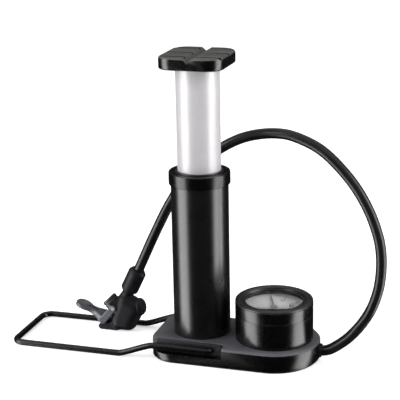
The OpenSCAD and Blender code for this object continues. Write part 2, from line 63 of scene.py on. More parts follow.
# ---------------------------------------------------------------- camera
CAMERA_AT = Vector((0.2405, -0.7507, 0.3411))
CAMERA_TURN, CAMERA_PITCH, CAMERA_ROLL = 0.310, 0.291, -0.020
CAMERA_LENS, SENSOR = 112.9, 36.0


def make_camera():
    data = bpy.data.cameras.new("camera")
    data.sensor_width, data.sensor_height, data.lens = SENSOR, SENSOR, CAMERA_LENS
    data.clip_start, data.clip_end = 0.01, 50
    cam = bpy.data.objects.new("camera", data)
    scene.collection.objects.link(cam)
    ct, st = math.cos(CAMERA_TURN), math.sin(CAMERA_TURN)
    cp, sp = math.cos(CAMERA_PITCH), math.sin(CAMERA_PITCH)
    ahead = Vector((-st * cp, ct * cp, -sp))
    right = ahead.cross(Vector((0, 0, 1))).normalized()
    up = right.cross(ahead)
    cr, sr = math.cos(CAMERA_ROLL), math.sin(CAMERA_ROLL)
    side, top = right * cr + up * sr, up * cr - right * sr
    turn = Matrix((side, top, -ahead)).transposed().to_4x4()
    cam.matrix_world = Matrix.Translation(CAMERA_AT) @ turn
    scene.camera = cam


make_camera()


# ---------------------------------------------------------------- node materials
DOT_ON_FLAT, DOT_ON_EDGE = 0.985, 0.80  # rounded normal against true normal, for Graph.edges
GRAIN_DEEP = 0.12 * MM
RUB_SCALE = 420.0                       # noise that breaks up the wear along edges


class Graph:
    """Short names for the nodes of one material."""

    def __init__(self, name):
        self.mat = bpy.data.materials.new(name)
        self.mat.use_nodes = True
        self.tree = self.mat.node_tree
        self.bsdf = self.tree.nodes["Principled BSDF"]
        coord = self.add("ShaderNodeTexCoord")
        self.place = coord.outputs["Object"]

    def add(self, kind, inputs=None, **props):
        n = self.tree.nodes.new(kind)
        for key, value in props.items():
            setattr(n, key, value)
        for key, value in (inputs or {}).items():
            self.put(n.inputs[key], value)
        return n

    def put(self, socket, value):
        if isinstance(value, bpy.types.NodeSocket):
            self.tree.links.new(value, socket)
        else:
            socket.default_value = value

    def stretched(self, scale):
        n = self.add("ShaderNodeMapping", {"Vector": self.place, "Scale": scale})
        return n.outputs["Vector"]

    def noise(self, scale, detail=3.0, rough=0.5, vector=None):
        n = self.add("ShaderNodeTexNoise", {"Vector": vector or self.place, "Scale": scale,
                                            "Detail": detail, "Roughness": rough})
        return n.outputs["Fac"]

    def remap(self, value, a, b, c, d):
        n = self.add("ShaderNodeMapRange", {"Value": value, "From Min": a, "From Max": b,
                                            "To Min": c, "To Max": d})
        return n.outputs["Result"]

    def math(self, op, a, b):
        n = self.add("ShaderNodeMath", {0: a, 1: b}, operation=op)
        return n.outputs["Value"]

    def mix(self, fac, a, b):
        n = self.add("ShaderNodeMix", data_type="RGBA")
        self.put(n.inputs["Factor"], fac)
        self.put(n.inputs[6], a)
        self.put(n.inputs[7], b)
        return n.outputs[2]

    def edges(self, radius):
        """1 along sharp edges, 0 on flats, from how far a rounded normal strays from the true one."""
        soft = self.add("ShaderNodeBevel", {"Radius": radius}, samples=4)
        sharp = self.add("ShaderNodeNewGeometry")
        dot = self.add("ShaderNodeVectorMath", {0: soft.outputs["Normal"],
                                                1: sharp.outputs["Normal"]},
                       operation="DOT_PRODUCT")
        return self.remap(dot.outputs["Value"], DOT_ON_FLAT, DOT_ON_EDGE, 0.0, 1.0)

    def bump(self, height, strength, distance):
        n = self.add("ShaderNodeBump", {"Height": height, "Strength": strength,
                                        "Distance": distance})
        self.put(self.bsdf.inputs["Normal"], n.outputs["Normal"])


def rgba(r, g, b):
    return (r, g, b, 1.0)


def finish(name, colour, tint, rough, spread, grain, grain_mm, wear=None, metallic=0.0,
           specular=0.5, stretch=(1, 1, 1), patch=60.0, wear_mm=0.35):
    """A moulded, painted or metal finish: blotchy colour, uneven gloss, fine grain, worn edges.

    The colour wanders between colour and tint in blotches of scale patch, and the roughness by
    spread about rough. grain is the strength of the bump and grain_mm the size of its grains.
    wear is the colour and the strength of the rub on edges, which reaches wear_mm in from them.
    """
    g = Graph(name)
    blotch = g.noise(patch, 4.0, 0.6)
    base = g.mix(g.remap(blotch, 0.35, 0.7, 0.0, 1.0), rgba(*colour), rgba(*tint))
    fine = g.noise(1 / MM / grain_mm, 2.0, 0.6, g.stretched(stretch))
    smudge = g.noise(patch * 2.3, 3.0, 0.7)
    gloss = g.remap(smudge, 0.3, 0.75, rough - spread, rough + spread)
    if wear:
        uneven = g.remap(g.noise(RUB_SCALE), 0.42, 0.6, 0.15, 1.0)
        rub = g.math("MULTIPLY", g.edges(wear_mm * MM), uneven)
        base = g.mix(g.math("MULTIPLY", rub, wear[3]), base, rgba(*wear[:3]))
        gloss = g.math("ADD", gloss, g.math("MULTIPLY", rub, 0.12))
    g.put(g.bsdf.inputs["Base Color"], base)
    g.put(g.bsdf.inputs["Roughness"], gloss)
    g.bsdf.inputs["Metallic"].default_value = metallic
    g.bsdf.inputs["Specular IOR Level"].default_value = specular
    g.bump(fine, grain, GRAIN_DEEP)
    return g


def window_material():
    g = Graph("window")
    haze = g.noise(70.0, 3.0)
    g.put(g.bsdf.inputs["Base Color"], g.mix(haze, rgba(0.93, 0.96, 0.98), rgba(0.97, 0.97, 0.95)))
    g.put(g.bsdf.inputs["Roughness"], g.remap(g.noise(160.0), 0.3, 0.7, 0.01, 0.05))
    g.bsdf.inputs["Transmission Weight"].default_value = 1.0
    g.bsdf.inputs["IOR"].default_value = 1.2
    g.bump(g.noise(25.0), 0.05, 0.0002)
    return g.mat


GREY_WEAR = (0.16, 0.16, 0.165, 0.55)
FINISHES = {
    "paint": finish("barrel_paint", (0.0020, 0.0020, 0.0024), (0.0032, 0.0032, 0.0036),
                    rough=0.29, spread=0.02, grain=0.012, grain_mm=1.6, wear=GREY_WEAR,
                    specular=0.6),
    "gloss": finish("gloss_moulding", (0.0003, 0.0003, 0.0004), (0.0008, 0.0008, 0.0009),
                    rough=0.28, spread=0.02, grain=0.015, grain_mm=1.2, wear=GREY_WEAR,
                    specular=0.42),
    "turned": finish("gauge_paint", (0.0003, 0.0003, 0.0003), (0.0008, 0.0008, 0.0008),
                     rough=0.27, spread=0.02, grain=0.02, grain_mm=0.5, wear=GREY_WEAR,
                     stretch=(0.04, 0.04, 1.0)),
    "slate": finish("slate_plate", (0.056, 0.054, 0.062), (0.070, 0.068, 0.076),
                    rough=0.55, spread=0.06, grain=0.22, grain_mm=0.35,
                    wear=(0.14, 0.14, 0.15, 0.6), specular=0.35),
    "matt": finish("matt_moulding", (0.008, 0.0082, 0.0115), (0.013, 0.0132, 0.017),
                   rough=0.50, spread=0.07, grain=0.28, grain_mm=0.4, wear=GREY_WEAR,
                   specular=0.4),
    "bush": finish("guide_moulding", (0.006, 0.0062, 0.0085), (0.011, 0.0112, 0.014),
                   rough=0.38, spread=0.06, grain=0.18, grain_mm=0.5,
                   wear=(0.12, 0.12, 0.13, 0.4)),
    "wire": finish("wire_paint", (0.0004, 0.0004, 0.0004), (0.0012, 0.0012, 0.0011),
                   rough=0.30, spread=0.05, grain=0.10, grain_mm=0.7, wear=GREY_WEAR,
                   specular=0.32),
    "tube": finish("bright_tube", (0.40, 0.39, 0.40), (0.44, 0.43, 0.44),
                   rough=0.40, spread=0.02, grain=0.03, grain_mm=0.35, metallic=0.2,
                   stretch=(0.1, 0.1, 1.0)),
    "steel": finish("zinc_steel", (0.50, 0.50, 0.51), (0.62, 0.62, 0.63),
                    rough=0.32, spread=0.06, grain=0.10, grain_mm=0.4, metallic=1.0,
                    wear=(0.75, 0.75, 0.76, 0.5)),
    "brass": finish("brass_parts", (0.60, 0.43, 0.18), (0.70, 0.52, 0.25),
                    rough=0.33, spread=0.06, grain=0.10, grain_mm=0.4, metallic=1.0,
                    wear=(0.80, 0.66, 0.38, 0.5)),
    "rubber": finish("black_rubber", (0.007, 0.007, 0.008), (0.013, 0.013, 0.014),
                     rough=0.42, spread=0.07, grain=0.22, grain_mm=0.5,
                     wear=(0.06, 0.06, 0.062, 0.4), specular=0.45),
    "hose": finish("hose_rubber", (0.003, 0.003, 0.0038), (0.007, 0.007, 0.008),
                   rough=0.30, spread=0.04, grain=0.10, grain_mm=0.6, specular=0.32, patch=90.0),
    "charcoal": finish("charcoal_moulding", (0.004, 0.004, 0.0055), (0.010, 0.010, 0.012),
                       rough=0.48, spread=0.07, grain=0.28, grain_mm=0.45,
                       wear=(0.13, 0.13, 0.15, 0.6), specular=0.16),
    "port": finish("port_moulding", (0.007, 0.007, 0.009), (0.016, 0.016, 0.019),
                   rough=0.34, spread=0.06, grain=0.2, grain_mm=0.45,
                   wear=(0.30, 0.31, 0.34, 0.9), specular=0.4, wear_mm=0.6),
    "lever": finish("slate_moulding", (0.058, 0.061, 0.072), (0.086, 0.089, 0.100),
                    rough=0.36, spread=0.06, grain=0.16, grain_mm=0.5,
                    wear=(0.26, 0.26, 0.28, 0.6)),
    "rim": finish("rim_moulding", (0.006, 0.006, 0.0056), (0.012, 0.0117, 0.011),
                  rough=0.34, spread=0.05, grain=0.14, grain_mm=0.5,
                  wear=(0.10, 0.10, 0.10, 0.4)),
    "dial": finish("dial_enamel", (0.58, 0.58, 0.565), (0.66, 0.65, 0.64),
                   rough=0.35, spread=0.08, grain=0.05, grain_mm=0.8),
    "ink": finish("dial_ink", (0.10, 0.10, 0.105), (0.16, 0.16, 0.165),
                  rough=0.5, spread=0.08, grain=0.1, grain_mm=0.4),
    "needle": finish("needle_paint", (0.20, 0.20, 0.21), (0.27, 0.27, 0.28),
                     rough=0.38, spread=0.06, grain=0.08, grain_mm=0.5,
                     wear=(0.5, 0.5, 0.5, 0.5)),
}
LOOKS = {key: g.mat for key, g in FINISHES.items()}
LOOKS["window"] = window_material()


def pedal_material(z_top, side, groove):
    """Worn olive grey on the treads and glossy black below side; flat groove floors deeper than groove
    are painted black as painted shade.
    """
    g = finish("pedal_moulding", (0.0003, 0.0003, 0.0004), (0.0008, 0.0008, 0.0008),
               rough=0.28, spread=0.04, grain=0.10, grain_mm=0.5, wear=GREY_WEAR, specular=0.55)
    black = g.bsdf.inputs["Base Color"].links[0].from_socket
    gloss = g.bsdf.inputs["Roughness"].links[0].from_socket
    height = g.add("ShaderNodeSeparateXYZ", {"Vector": g.place}).outputs["Z"]
    face = g.add("ShaderNodeNewGeometry")
    tilt = g.add("ShaderNodeSeparateXYZ", {"Vector": face.outputs["Normal"]}).outputs["Z"]
    high = g.remap(height, z_top - side, z_top - side + 0.4 * MM, 0.0, 1.0)
    up = g.remap(tilt, 0.30, 0.62, 0.0, 1.0)
    flat = g.remap(tilt, 0.85, 0.95, 0.0, 1.0)
    # painted shade: flat groove floors lower than groove under the top stay black instead of taking the
    # tread colour
    painted_groove_shade = g.remap(height, z_top - groove, z_top - groove + 0.3 * MM, 1.0, 0.0)
    floor = g.math("MULTIPLY", painted_groove_shade, flat)
    mask = g.math("MULTIPLY", g.math("MULTIPLY", high, up), g.math("SUBTRACT", 1.0, floor))
    tread = g.mix(g.remap(g.noise(260.0, 5.0, 0.7), 0.35, 0.68, 0.0, 1.0),
                  rgba(0.040, 0.039, 0.035), rgba(0.070, 0.068, 0.062))
    g.put(g.bsdf.inputs["Base Color"], g.mix(mask, black, tread))
    g.put(g.bsdf.inputs["Roughness"], g.math("ADD", gloss, g.math("MULTIPLY", mask, 0.26)))
    return g.mat


# ---------------------------------------------------------------- mesh helpers
def rounded(points, radius, steps=4):
    """Closed outline with its corners rounded off; radius is one number or one per corner."""
    n = len(points)
    radii = radius if isinstance(radius, (list, tuple)) else [radius] * n
    out = []
    for i, (p, r) in enumerate(zip(points, radii)):
        p = Vector(p)
        a, b = Vector(points[i - 1]) - p, Vector(points[(i + 1) % n]) - p
        cut = min(r, a.length * 0.48, b.length * 0.48)
        if cut < 1e-6:
            out.append(tuple(p))
            continue
        a, b = p + a.normalized() * cut, p + b.normalized() * cut
        for k in range(steps + 1):
            t = k / steps
            out.append(tuple(a * (1 - t) ** 2 + p * 2 * t * (1 - t) + b * t * t))
    return out


def arc(x, y, r, a0, a1, n):
    """n + 1 points round (x, y), from a0 to a1 degrees."""
    return [(x + r * math.cos(math.radians(a0 + (a1 - a0) * k / n)),
             y + r * math.sin(math.radians(a0 + (a1 - a0) * k / n))) for k in range(n + 1)]


def from_bmesh(name, bm, sharp=35.0):
    """New object from bm, smooth except along edges over sharp degrees."""
    bmesh.ops.remove_doubles(bm, verts=bm.verts, dist=1e-7)
    bmesh.ops.recalc_face_normals(bm, faces=bm.faces)
    for f in bm.faces:
        f.smooth = True
    limit = math.radians(sharp)
    for e in bm.edges:
        e.smooth = len(e.link_faces) == 2 and e.calc_face_angle() < limit
    mesh = bpy.data.meshes.new(name)
    bm.to_mesh(mesh)
    bm.free()
    ob = bpy.data.objects.new(name, mesh)
    scene.collection.objects.link(ob)
    return ob


def settle(ob, sharp=35.0):
    """Applies the modifiers of ob and marks its sharp edges again."""
    graph = bpy.context.evaluated_depsgraph_get()
    mesh = bpy.data.meshes.new_from_object(ob.evaluated_get(graph))
    ob.modifiers.clear()
    old = ob.data
    ob.data = mesh
    bpy.data.meshes.remove(old)
    bm = bmesh.new()
    bm.from_mesh(mesh)
    limit = math.radians(sharp)
    for f in bm.faces:
        f.smooth = True
    for e in bm.edges:
        e.smooth = len(e.link_faces) == 2 and e.calc_face_angle() < limit
    bm.to_mesh(mesh)
    bm.free()
    mesh.materials.clear()
    return ob


def lathe(name, profile, at=(0, 0, 0), frame_of=None, segs=144, sharp=35.0):
    """Turns a closed (radius, height) outline in millimetres about Z, or about frame_of's Z."""
    bm = bmesh.new()
    rings = []
    for k in range(segs):
        a = 2 * math.pi * k / segs
        rings.append([bm.verts.new((r * MM * math.cos(a), r * MM * math.sin(a), z * MM))
                      for r, z in profile])
    n = len(profile)
    for k in range(segs):
        here, there = rings[k], rings[(k + 1) % segs]
        for i in range(n):
            j = (i + 1) % n
            if profile[i][0] < 1e-6 and profile[j][0] < 1e-6:
                continue
            bm.faces.new((here[i], there[i], there[j], here[j]))
    bmesh.ops.remove_doubles(bm, verts=bm.verts, dist=1e-7)
    move = frame_of or Matrix.Translation(Vector(at))
    bm.transform(move)
    return from_bmesh(name, bm, sharp)


def loft(name, rings, sharp=35.0):
    """Closed skin through rings of points, all of the same length."""
    bm = bmesh.new()
    rows = [[bm.verts.new(p) for p in ring] for ring in rings]
    n = len(rings[0])
    for lower, upper in zip(rows, rows[1:]):
        for i in range(n):
            j = (i + 1) % n
            bm.faces.new((lower[i], lower[j], upper[j], upper[i]))
    bm.faces.new(list(reversed(rows[0])))
    bm.faces.new(rows[-1])
    return from_bmesh(name, bm, sharp)


def hull(name, points):
    """Convex skin round points."""
    bm = bmesh.new()
    for p in points:
        bm.verts.new(p)
    made = bmesh.ops.convex_hull(bm, input=bm.verts)
    loose = [v for v in made["geom_interior"] if isinstance(v, bmesh.types.BMVert)]
    bmesh.ops.delete(bm, geom=loose, context="VERTS")
    return from_bmesh(name, bm)


def ball(centre, r, n=12):
    """Points of a sphere, for hulls."""
    out = []
    for i in range(n + 1):
        b = math.pi * i / n
        for j in range(2 * n):
            a = math.pi * j / n
            out.append(Vector(centre) + r * Vector((math.sin(b) * math.cos(a),
                                                    math.sin(b) * math.sin(a), math.cos(b))))
    return out


def disc_y(x, z, r, y0, y1, n=28):
    """Points of a short cylinder along Y, for hulls."""
    turns = [2 * math.pi * k / n for k in range(n)]
    return [Vector((x + r * math.cos(a), y, z + r * math.sin(a))) for a in turns for y in (y0, y1)]


def discard(ob):
    """Removes a mesh object and its mesh."""
    mesh = ob.data
    bpy.data.objects.remove(ob)
    bpy.data.meshes.remove(mesh)


def cut(ob, tools):
    """Takes the tools away from ob, and removes them."""
    for tool in tools:
        m = ob.modifiers.new("cut", "BOOLEAN")
        m.operation, m.object, m.solver = "DIFFERENCE", tool, "EXACT"
    settle(ob)
    for tool in tools:
        discard(tool)
    return ob


def bevel(ob, width_mm, segments=3, angle=40.0):
    """Rounds the edges of ob that are sharper than angle degrees."""
    m = ob.modifiers.new("bevel", "BEVEL")
    m.width, m.segments, m.limit_method = width_mm * MM, segments, "ANGLE"
    m.angle_limit = math.radians(angle)
    m.use_clamp_overlap = True
    return settle(ob)


def melt(name, parts, voxel_mm, smooth):
    """Joins overlapping solids into one skin with soft valleys between them."""
    bm = bmesh.new()
    for part in parts:
        bm.from_mesh(part.data)
        discard(part)
    ob = from_bmesh(name, bm)
    m = ob.modifiers.new("join", "REMESH")
    m.mode, m.voxel_size, m.use_smooth_shade = "VOXEL", voxel_mm * MM, True
    m = ob.modifiers.new("soft", "SMOOTH")
    m.factor, m.iterations = 0.5, smooth
    return settle(ob, 60.0)


def box(name, lo, hi):
    """Block between two corners in metres."""
    return loft(name, [[(lo[0], lo[1], z), (hi[0], lo[1], z), (hi[0], hi[1], z), (lo[0], hi[1], z)]
                       for z in (lo[2], hi[2])])


def rod(frame_of, r, z0, z1, segs=32):
    """Cutting cylinder, in millimetres along frame_of's Z."""
    return lathe("tool", [(0, z0), (r, z0), (r, z1), (0, z1)], frame_of=frame_of, segs=segs)


def drum(x, y, r, z0, z1):
    """Upright cutting cylinder, in metres."""
    return rod(Matrix.Translation((x, y, 0)), r / MM, z0 / MM, z1 / MM, 96)


def along_y(at):
    """Frame at a point, with its Z along the pump's Y."""
    return Matrix.Translation(at) @ Matrix.Rotation(math.radians(-90), 4, "X")


def dress(ob, material, body, slot, *nodes):
    """Gives ob its material, rides it on a body and hides the CAD nodes it replaces. slot is not used.
    """
    ob.data.materials.clear()
    ob.data.materials.append(LOOKS[material] if isinstance(material, str) else material)
    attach(ob, body)
    if nodes:
        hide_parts(*nodes)
    return ob


# ---------------------------------------------------------------- hose, first
HOSE_MM = [
    (82, 0, 7.4), (87, 0, 8.5), (92.5, 0, 12), (98.5, 0, 17), (104, 0, 23), (109.5, 1, 30.5),
    (114.5, 1, 40), (118, 2, 51), (119.5, 3, 62), (119.5, 4, 73), (118, 5, 83.5), (115, 6, 93),
    (111, 7.5, 102), (105.5, 9, 111.5), (99, 11, 120), (92, 12.5, 127.5), (83.5, 14.5, 135),
    (75, 16.5, 140.5), (65, 18.5, 144.5), (54.5, 20.5, 147), (43.5, 22.5, 147), (32, 24.5, 145),
    (20, 26.5, 141), (8, 27.5, 134.5), (-3, 26.5, 126.5), (-13.5, 24, 116.5), (-22, 21, 104.5),
    (-29.3, 19, 92), (-35.5, 18, 79.5), (-41, 17.5, 68), (-46.3, 17.5, 56.5), (-51.3, 17.5, 45.8)]
HOSE_TILT = math.radians(26)
HOSE_D = 7.0


def spline_through(points, first, last, steps=6):
    """Smooth line through points, leaving along first and arriving along last."""
    p = [Vector(q) for q in points]
    tangents = [Vector(first) * (p[1] - p[0]).length]
    for i in range(1, len(p) - 1):
        tangents.append((p[i + 1] - p[i - 1]) / 2)
    tangents.append(Vector(last) * (p[-1] - p[-2]).length)
    out = []
    for i in range(len(p) - 1):
        for k in range(steps):
            t = k / steps
            h = (2 * t ** 3 - 3 * t ** 2 + 1, t ** 3 - 2 * t ** 2 + t,
                 -2 * t ** 3 + 3 * t ** 2, t ** 3 - t ** 2)
            out.append(p[i] * h[0] + tangents[i] * h[1] + p[i + 1] * h[2] + tangents[i + 1] * h[3])
    return out + [p[-1]]


def round_line(name, points, radius, sides):
    """Curve object with one open spline and a round section."""
    data = bpy.data.curves.new(name, "CURVE")
    data.dimensions, data.resolution_u = "3D", 1
    data.bevel_depth, data.bevel_resolution = radius, sides
    data.use_fill_caps, data.twist_mode = True, "MINIMUM"
    line = data.splines.new("POLY")
    line.points.add(len(points) - 1)
    for q, point in zip(line.points, points):
        q.co = (*point, 1.0)
    line.use_smooth = True
    ob = bpy.data.objects.new(name, data)
    scene.collection.objects.link(ob)
    return ob


hose_end_dir = Vector((-math.sin(HOSE_TILT), 0, -math.cos(HOSE_TILT)))
hose_points = spline_through([Vector(q) * MM for q in HOSE_MM], (1, 0, 0), hose_end_dir)
hose = round_line("hose_line", hose_points, HOSE_D / 2 * MM, 7)
dress(hose, "hose", "base", "rubber", "hose")


# ---------------------------------------------------------------- folding wire stand
STAND_BEND_R = 7 * MM
JOGGLE_X = (-24.5 * MM, -53.5 * MM)     # stretch where the rails come down to the ground
JOGGLE_EASE = 0.12                      # share of that stretch with no steady slope, at each end
JOGGLE_SOFT = 0.45                      # share of the drop that follows a cosine


def wire_path():
    """Centre line of the stand from its front pin to its rear pin, and the wire's radius."""
    lo, hi, _ = span("wire_stand")
    _, pins_hi, pins = span("stand_pins")
    r = (lo.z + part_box("stand_pins")[1][2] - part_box("stand_pins")[0][2]) / 2
    rail_y, rail_z = hi.y - r, lo.z + r
    leg_r = rail_y - pins_hi.y
    reach, corner = lo.x + r, STAND_BEND_R
    front = [Vector((x, y, pins.z)) for x, y in
             arc(pins.x - leg_r, leg_r - rail_y, leg_r, 0, -90, 10)]
    start, end = JOGGLE_X
    steps = 18
    for k in range(steps + 1):
        t = k / steps
        soft = 0.5 - 0.5 * math.cos(math.pi * t)
        steady = max(0.0, min(1.0, (t - JOGGLE_EASE) / (1 - 2 * JOGGLE_EASE)))
        blend = JOGGLE_SOFT * soft + (1 - JOGGLE_SOFT) * steady
        front.append(Vector((start + t * (end - start), -rail_y, pins.z + blend * (rail_z - pins.z))))
    front += [Vector((x, y, rail_z)) for x, y in
              arc(reach + corner, corner - rail_y, corner, -90, -180, 10)]
    rear = [Vector((p.x, -p.y, p.z)) for p in reversed(front)]
    return front + rear, r


stand_points, wire_r = wire_path()
stand = round_line("stand_wire", stand_points, wire_r, 7)
dress(stand, "wire", "stand", "wire_black", "wire_stand")

# ---------------------------------------------------------------- base
sole_lo, sole_hi, _ = span("sole")
base_lo, base_hi, _ = span("base_housing")
plate_lo, plate_hi, _ = span("top_plate")
cheek_lo, cheek_hi, _ = span("cheek_front")
case_lo, case_hi, gauge = span("gauge_case")
barrel_lo, barrel_hi, _ = span("barrel")
half_w = base_hi.y
barrel_r = (barrel_hi.x - barrel_lo.x) / 2
notch_y, ledge_z = -cheek_hi.y, cheek_lo.z
CORNER_R = 17 * MM
NOTCH_X = 22 * MM                       # right end of the side notches
FAR = 50 * MM                           # how far cutters run on past what they cut
SOLE_INSET = 1.2 * MM
SCREW_HOLES = [(-18, 15), (-18, -15), (34, 23), (34, -23)]
SCREW_HOLE_R = 3.4 * MM
STEM_HOLE_R = 5 * MM
FOOT_BEVEL = 0.5 * MM                   # at the bottom edge of the housing
PLATE_BEVEL = 1.4 * MM
PIVOT_AT = (13 * MM, -notch_y - 1 * MM, 10 * MM)
PIVOT_HOLE_R, CHEEK_HOLE_R = 2.0, 2.05
CHEEK_TOP_R = 3.5


def base_outline(inset=0.0):
    """Plan of the base: a half round under the gauge and two rounded corners at the left."""
    r, w = CORNER_R - inset, half_w - inset
    x, y = base_lo.x + CORNER_R, half_w - CORNER_R
    return (arc(gauge.x, 0, w, -90, 90, 72) + arc(x, y, r, 90, 180, 28)
            + arc(x, -y, r, 180, 270, 28))


def base_layer(name, levels, sharp=35.0):
    """Solid with the base's plan, through a list of (inset, height)."""
    return loft(name, [[(x, y, z) for x, y in base_outline(inset)] for inset, z in levels], sharp)


def notch_tools(z):
    """Cutting blocks for both side notches, from height z up."""
    top = 60 * MM
    return [box("tool", (base_lo.x - FAR, s * notch_y if s > 0 else -notch_y - FAR, z),
                (NOTCH_X, notch_y + FAR if s > 0 else -notch_y, top)) for s in (-1, 1)]


sole = base_layer("sole_pad", [(SOLE_INSET + 0.4 * MM, sole_lo.z),
                               (SOLE_INSET, sole_lo.z + 0.35 * MM), (SOLE_INSET, sole_hi.z)])
cut(sole, [drum(x * MM, y * MM, SCREW_HOLE_R, -0.01, 0.01) for x, y in SCREW_HOLES])
dress(sole, "rubber", "base", "rubber", "sole")

body = base_layer("base_body", [(FOOT_BEVEL, base_lo.z), (FOOT_BEVEL * 0.35, base_lo.z + 0.2 * MM),
                                (0, base_lo.z + FOOT_BEVEL), (0, base_hi.z)])
cut(body, notch_tools(ledge_z) + [drum(0, 0, barrel_r, barrel_lo.z, FAR),
                                  rod(along_y(PIVOT_AT), PIVOT_HOLE_R, 0, 8)])
bevel(body, 0.25, 2)
dress(body, "gloss", "base", "gloss_black", "base_housing")

plate = base_layer("plate", [(0, plate_lo.z), (0, plate_lo.z + 0.3 * MM),
                             (PLATE_BEVEL * 0.18, plate_lo.z + 0.62 * MM),
                             (PLATE_BEVEL * 0.72, plate_hi.z - 0.28 * MM),
                             (PLATE_BEVEL * 1.1, plate_hi.z)], 20)
cut(plate, notch_tools(0) + [drum(0, 0, barrel_r, 0, FAR), drum(gauge.x, 0, STEM_HOLE_R, 0, FAR)])
bevel(plate, 0.22, 2, 50)
dress(plate, "slate", "base", "slate", "top_plate")


def cheek(name, node):
    """Upright pivot plate in a side notch, with the pin's hole."""
    lo, hi, _ = span(node)
    x0, x1, z0, z1 = (v / MM for v in (lo.x, hi.x, lo.z, hi.z))
    outline = rounded([(x0, z0), (x1, z0), (x1, z1), (x0, z1)], [0.3, 0.5, CHEEK_TOP_R, 0.8], 8)
    ob = loft(name, [[(x * MM, y, z * MM) for x, z in outline] for y in (lo.y, hi.y)])
    pins = span("stand_pins")[2]
    cut(ob, [rod(along_y((pins.x, (lo.y + hi.y) / 2, pins.z)), CHEEK_HOLE_R, -5, 5, 48)])
    bevel(ob, 0.3, 3)
    return dress(ob, "matt", "base", "matt_black", node)


cheek("cheek_plate_front", "cheek_front")
cheek("cheek_plate_rear", "cheek_rear")

# ---------------------------------------------------------------- barrel and collar
# Radii end in _mm. They and the heights z0 and z1 are in millimetres, from here on
barrel_mm, barrel_z0, barrel_z1 = barrel_r / MM, barrel_lo.z / MM, barrel_hi.z / MM
collar_lo, collar_hi, _ = span("collar")
collar_mm, collar_z0, collar_z1 = collar_hi.x / MM, collar_lo.z / MM, collar_hi.z / MM
tube_lo, tube_hi, _ = span("plunger_tube")
tube_mm, tube_z0, tube_z1 = tube_hi.x / MM, tube_lo.z / MM, tube_hi.z / MM
bush_lo, bush_hi, _ = span("guide_bush")
bush_z0, bush_z1 = bush_lo.z / MM, bush_hi.z / MM
BARREL_WALL, TUBE_WALL = 2.0, 1.25
bore_mm, tube_bore_mm = barrel_mm - BARREL_WALL, tube_mm - TUBE_WALL
bush_bore_mm = tube_mm + 0.08           # running clearance round the tube
lip_mm = tube_mm + 1.6                  # outside of the bush where it shows in the collar
LIP_STEP = 0.55                         # depth of the step between the collar's top and the bush

barrel = lathe("barrel_tube", rounded([(bore_mm, barrel_z0), (barrel_mm, barrel_z0),
                                       (barrel_mm, barrel_z1), (bore_mm, barrel_z1)], 0.25))
dress(barrel, "paint", "base", "barrel_black", "barrel")

collar = lathe("collar_ring", rounded(
    [(barrel_mm, collar_z0), (collar_mm, collar_z0), (collar_mm, collar_z1),
     (lip_mm + 1.9, collar_z1), (lip_mm + 1.5, collar_z1 - LIP_STEP),
     (lip_mm, collar_z1 - LIP_STEP), (lip_mm, barrel_z1), (barrel_mm, barrel_z1)],
    [0.1, 0.5, 0.9, 0.3, 0.2, 0.1, 0.05, 0.05], 5))
dress(collar, "gloss", "base", "gloss_black", "collar")

bush = lathe("guide_ring", rounded(
    [(bush_bore_mm, bush_z0), (bore_mm, bush_z0), (bore_mm, barrel_z1), (lip_mm, barrel_z1),
     (lip_mm, bush_z1), (bush_bore_mm, bush_z1)], [0.2, 0.2, 0.02, 0.02, 0.5, 0.5], 5))
dress(bush, "bush", "base", "matt_black", "guide_bush")

# ---------------------------------------------------------------- plunger and pedal
tube = lathe("bright_tube", rounded([(tube_bore_mm, tube_z0), (tube_mm, tube_z0),
                                     (tube_mm, tube_z1), (tube_bore_mm, tube_z1)], 0.2))
dress(tube, "tube", "plunger", "bright_tube", "plunger_tube")

ped_lo, ped_hi, _ = span("pedal")
PEDAL_R = 10.5 * MM
PEDAL_LEVELS = [                        # inset in millimetres, and height in metres
    (1.0, ped_lo.z), (0.35, ped_lo.z + 0.3 * MM), (0, ped_lo.z + 1.0 * MM),
    (0, ped_hi.z - 1.5 * MM), (0.25, ped_hi.z - 0.8 * MM), (0.75, ped_hi.z - 0.3 * MM),
    (1.35, ped_hi.z)]
VEE_HALF = 3.4 * MM                     # half width and depth of the groove along the middle
VEE_OVER = 1.0 * MM
TREAD_Y, TREAD_W, TREAD_DEEP = (-16, 0, 16), 1.9, 1.2 * MM
# depth of the tread colour down the sides, and depth below which flat groove floors get painted shade
PEDAL_SIDE, GROOVE_SHADE_DEPTH = 4.5 * MM, 1.0 * MM
PEDAL_SCREW_R = 2.5 * MM


def pedal_ring(inset, z, steps=18):
    """Plan of the pedal at height z: a rectangle with round corners."""
    x, y = (ped_hi.x - ped_lo.x) / 2 - PEDAL_R, (ped_hi.y - ped_lo.y) / 2 - PEDAL_R
    return [(px, py, z) for sx, sy, a in ((1, -1, -90), (1, 1, 0), (-1, 1, 90), (-1, -1, 180))
            for px, py in arc(sx * x, sy * y, PEDAL_R - inset, a, a + 90, steps)]


def pedal_tools():
    """Cutters for the cross grooves, the groove along the middle and the screw's hole."""
    across = 40 * MM
    top = ped_hi.z
    tools = [box("tool", (-across, (y - TREAD_W / 2) * MM, top - TREAD_DEEP),
                 (across, (y + TREAD_W / 2) * MM, top + 0.01)) for y in TREAD_Y]
    edge = VEE_HALF + VEE_OVER
    tools.append(loft("tool", [[(-edge, y, top + VEE_OVER), (0, y, top - VEE_HALF),
                                (edge, y, top + VEE_OVER)] for y in (-across, across)]))
    tools.append(drum(0, 0, PEDAL_SCREW_R, ped_lo.z - 1 * MM, ped_lo.z + 4 * MM))
    return tools


pedal = loft("pedal_pad", [pedal_ring(inset * MM, z) for inset, z in PEDAL_LEVELS], 50)
cut(pedal, pedal_tools())
bevel(pedal, 0.28, 2, 38)
dress(pedal, pedal_material(ped_hi.z, PEDAL_SIDE, GROOVE_SHADE_DEPTH), "plunger", "pedal_grey", "pedal")

